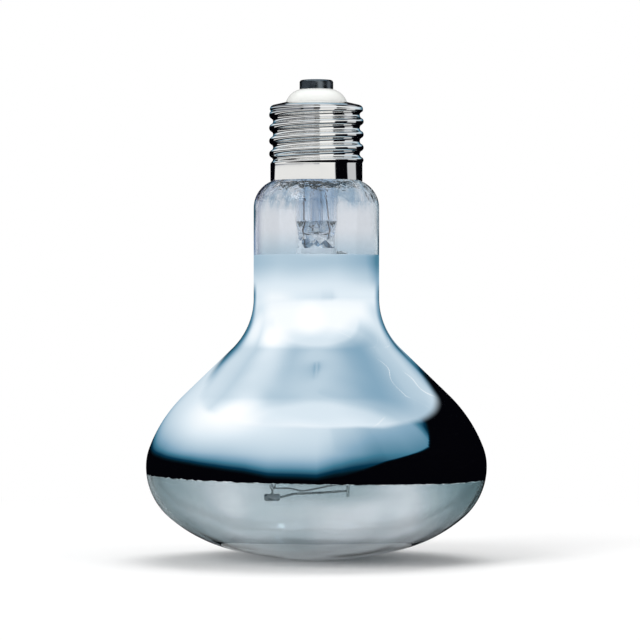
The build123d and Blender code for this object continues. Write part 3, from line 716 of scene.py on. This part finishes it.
shell_outside = shell_skin(0, 0.09 * mm)
shell_inside = shell_skin(shell_sheet, 0.3 * mm)
shell_grid = np.concatenate([shell_outside, shell_inside[::-1], shell_outside[:1]])
nickel = metal_finish(
    "nickel_plate", rgb(0.9, 0.89, 0.87), rgb(0.8, 0.8, 0.79), 0.03, 0.09, 6 * mm, bump_share=0.03)
shell = mesh_piece("screw_shell_rolled", shell_grid, nickel)
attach(shell, "root")
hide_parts("screw_shell")


# The filament: a loop of fine tungsten coil, down at the left, slack across the front of the
# arc tube and up at the right.
coil_radius = 0.26 * mm
coil_wire = 0.045 * mm
coil_pitch = 0.19 * mm
coil_sides = 12
wire_sides = 5


def rounded_path(corners, bend, step):
    """Points along straight runs whose corners are cut by a quadratic curve of the given reach."""
    corners = np.array(corners, float)
    points = [corners[:1]]
    for before, corner, after in zip(corners[:-2], corners[1:-1], corners[2:]):
        start = corner + (before - corner) / np.linalg.norm(before - corner) * bend
        end = corner + (after - corner) / np.linalg.norm(after - corner) * bend
        share = np.linspace(0, 1, 12)[:, None]
        points.append((1 - share) ** 2 * start + 2 * share * (1 - share) * corner + share ** 2 * end)
    points.append(corners[-1:])
    line = np.vstack(points)
    run = np.concatenate([[0], np.cumsum(np.linalg.norm(np.diff(line, axis=0), axis=1))])
    along = np.arange(0, run[-1], step)
    return np.stack([np.interp(along, run, line[:, axis]) for axis in range(3)], axis=1)


def frames_on(path, hint):
    """Unit tangent of a path, the part of the hint across it, and their cross product."""
    tangent = np.gradient(path, axis=0)
    tangent /= np.linalg.norm(tangent, axis=1)[:, None]
    across = hint - (tangent * hint).sum(axis=1)[:, None] * tangent
    across /= np.linalg.norm(across, axis=1)[:, None]
    return tangent, across, np.cross(tangent, across)


def wire_tube(path, hint, radius, sides):
    """Round tube along a path, its ends drawn to a point."""
    tangent, across, other = frames_on(path, hint)
    turn = np.linspace(0, 2 * math.pi, sides, endpoint=False)[None, :, None]
    size = np.full((len(path), 1, 1), radius)
    size[[0, -1]] = 0
    return path[:, None] + size * (np.cos(turn) * across[:, None] + np.sin(turn) * other[:, None])


filament_low, filament_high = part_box("ballast_filament")
coil_y = (filament_low.y + filament_high.y) / 2
filament_form = 0.32 * mm
left_x = filament_low.x + filament_form
right_x = filament_high.x - filament_form
top_z = filament_high.z
span = right_x - left_x
low_z = filament_low.z + filament_form
left_rise, slack_rise, right_rise = 0.9 * mm, 1.65 * mm, 2.4 * mm
loop_bend = 1.0 * mm
loop_corners = [
    (left_x, coil_y, top_z), (left_x, coil_y, low_z + left_rise),
    (left_x + 0.22 * span, coil_y, low_z + left_rise), (left_x + 0.36 * span, coil_y, low_z),
    (left_x + 0.70 * span, coil_y, low_z + slack_rise), (right_x, coil_y, low_z + right_rise),
    (right_x, coil_y, top_z)]
coil_step = coil_pitch / coil_sides
loop_line = rounded_path(loop_corners, loop_bend, coil_step)
_, coil_across, coil_other = frames_on(loop_line, np.array([0.0, 1.0, 0.0]))
coil_turn = (np.arange(len(loop_line)) * 2 * math.pi / coil_sides)[:, None]
coil_line = loop_line + coil_radius * (np.cos(coil_turn) * coil_across + np.sin(coil_turn) * coil_other)
tungsten = metal_finish("tungsten_wire", rgb(0.42, 0.43, 0.44), rgb(0.24, 0.25, 0.26), 0.25, 0.45, 3 * mm)
coil = mesh_piece("filament_coil", wire_tube(
    coil_line, np.array([0.13, 0.7, 0.7]), coil_wire, wire_sides), tungsten)
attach(coil, "root")
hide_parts("ballast_filament")


# Wires, clips and foils of the mount: nickelled iron, nickel, molybdenum and tungsten, bent and
# spot welded before the mount goes into the bulb.
nickel_wire = metal_finish("nickel_wire", rgb(0.78, 0.77, 0.75), rgb(0.6, 0.6, 0.59), 0.15, 0.35, 3 * mm)
copper_wire = metal_finish("copper_wire", rgb(0.32, 0.25, 0.22), rgb(0.14, 0.12, 0.13), 0.2, 0.4, 3 * mm)
molybdenum = metal_finish("molybdenum", rgb(0.6, 0.6, 0.6), rgb(0.45, 0.45, 0.46), 0.3, 0.5, 2 * mm)
solder = metal_finish("soft_solder", rgb(0.75, 0.76, 0.77), rgb(0.5, 0.51, 0.53), 0.15, 0.45, 1.5 * mm)
contact_metal = metal_finish(
    "contact_metal", rgb(0.3, 0.34, 0.37), rgb(0.05, 0.07, 0.08), 0.15, 0.4, 1.6 * mm, 0.08 * mm)


def paint(node, finish):
    """Gives a node of the frame its finish."""
    slots = nodes[node].material_slots
    if not slots:
        nodes[node].data.materials.append(finish)
    for held in slots:
        held.material = finish


def matt_finish(name, light, dark, size, roughness):
    """Matt surface in cloudy patches of two tones, with a fine grain."""
    finish = new_finish(name)
    place = finish.node("TexCoord", output="Object")
    cloud = noise(finish, place, size, 4.0)
    bump = finish.node("Bump", None, {
        "Strength": 0.2, "Distance": 0.05 * mm, "Height": noise(finish, place, size / 8)})
    return finish.surface(finish.node("BsdfPrincipled", None, {
        "Base Color": blend(finish, cloud, dark, light), "Roughness": roughness, "Normal": bump}))


def clear_finish(name, tint, edge):
    """Clear glass or quartz with a faint drift of tint."""
    finish = new_finish(name)
    place = finish.node("TexCoord", output="Object")
    cloud = noise(finish, place, 4 * mm)
    return finish.surface(finish.node("BsdfPrincipled", None, {
        "Base Color": blend(finish, cloud, edge, tint), "Roughness": 0.01, "IOR": 1.48,
        "Transmission Weight": 1.0}))


quartz = clear_finish("quartz", rgb(0.98, 0.98, 0.98), rgb(0.93, 0.94, 0.95))


def stem_finish(press_low, press_high):
    """Lead glass: blue-grey streaks down the tube, and faceted cells where it was pressed, painted
    white, blue and navy: painted highlights and painted reflections. The white cells are partly
    matt so that the lamps light them up."""
    finish = new_finish("stem_glass")
    place, x, y, z = axes(finish)
    lines = ease(finish, streaks(finish, place, 1.1 * mm, 12 * mm), 0.4, 0.62)
    tube = blend(finish, lines, rgb(0.97, 0.98, 1.0), rgb(0.66, 0.77, 0.88))
    chip_cells = {"Vector": place, "Scale": 1 / (1.5 * mm)}
    cells = finish.node("TexVoronoi", {"feature": "F1"}, chip_cells, "Color")
    pick = finish.node("SeparateXYZ", None, {0: cells}, 0)
    # Painted highlights and reflections: cell colours of navy, blue and white.
    painted_chip_highlights = finish.node("ValToRGB", {"stops": [
        (0.0, rgb(0.06, 0.14, 0.26)), (0.16, rgb(0.3, 0.5, 0.7)), (0.3, rgb(0.9, 0.95, 1.0)),
        (1.0, rgb(1, 1, 1))]}, {0: pick})
    pressed = 1 - ease(finish, z + noise(finish, place, 2.5 * mm) * (2 * mm), press_low, press_high)
    facets = finish.node("TexVoronoi", {"feature": "F1"}, chip_cells, "Distance")
    bump = finish.node("Bump", None, {
        "Strength": 1.0, "Distance": 0.5 * mm, "Height": facets * pressed})
    glass = finish.node("BsdfPrincipled", None, {
        "Base Color": blend(finish, pressed, tube, painted_chip_highlights), "Roughness": 0.02, "IOR": 1.55,
        "Transmission Weight": 1.0, "Normal": bump})
    # The white cells are mixed towards this matt surface so that they show as painted highlights.
    matt_painted_highlights = finish.node("BsdfPrincipled", None, {
        "Base Color": painted_chip_highlights, "Roughness": 0.15, "Normal": bump})
    share = pressed * ease(finish, pick, 0.45, 0.5) * 0.75
    return finish.surface(finish.node("MixShader", None, {0: share, 1: glass, 2: matt_painted_highlights}))


stem_glass = stem_finish(89.5 * mm, 92.5 * mm)
ceramic = matt_finish("white_ceramic", rgb(0.86, 0.86, 0.83), rgb(0.76, 0.78, 0.76), 5 * mm, 0.25)
# Painted highlight: the nickel strap is coloured near-white and matt, not metal, so that it shows bright.
strap_painted_highlight = matt_finish("strap_painted_highlight", rgb(0.96, 0.97, 0.98), rgb(0.7, 0.75, 0.8), 1.5 * mm, 0.3)
cement = matt_finish("cement", rgb(0.55, 0.5, 0.42), rgb(0.4, 0.36, 0.3), 2 * mm, 0.8)
resistor_coat = matt_finish("resistor_coat", rgb(0.35, 0.45, 0.4), rgb(0.25, 0.34, 0.3), 2 * mm, 0.5)

finishes = {
    strap_painted_highlight: ["stem_strap"],
    nickel_wire: ["support_frame", "cross_wire", "filament_lead", "frame_lead",
                  "upper_pinch_clip", "lower_pinch_clip", "filament_hooks", "resistor_leads"],
    copper_wire: ["centre_lead_wire", "side_lead_wire"],
    molybdenum: ["arc_tube_foils", "upper_arc_lead", "lower_arc_lead"],
    tungsten: ["upper_electrode", "lower_electrode", "starter_electrode"],
    solder: ["contact_solder", "side_solder"],
    contact_metal: ["end_contact"],
    quartz: ["arc_tube"],
    stem_glass: ["stem_glass", "exhaust_tube", "support_beads"],
    ceramic: ["cap_insulator"],
    cement: ["capping_cement"],
    resistor_coat: ["starting_resistor"],
}
for finish, names in finishes.items():
    for name in names:
        paint(name, finish)
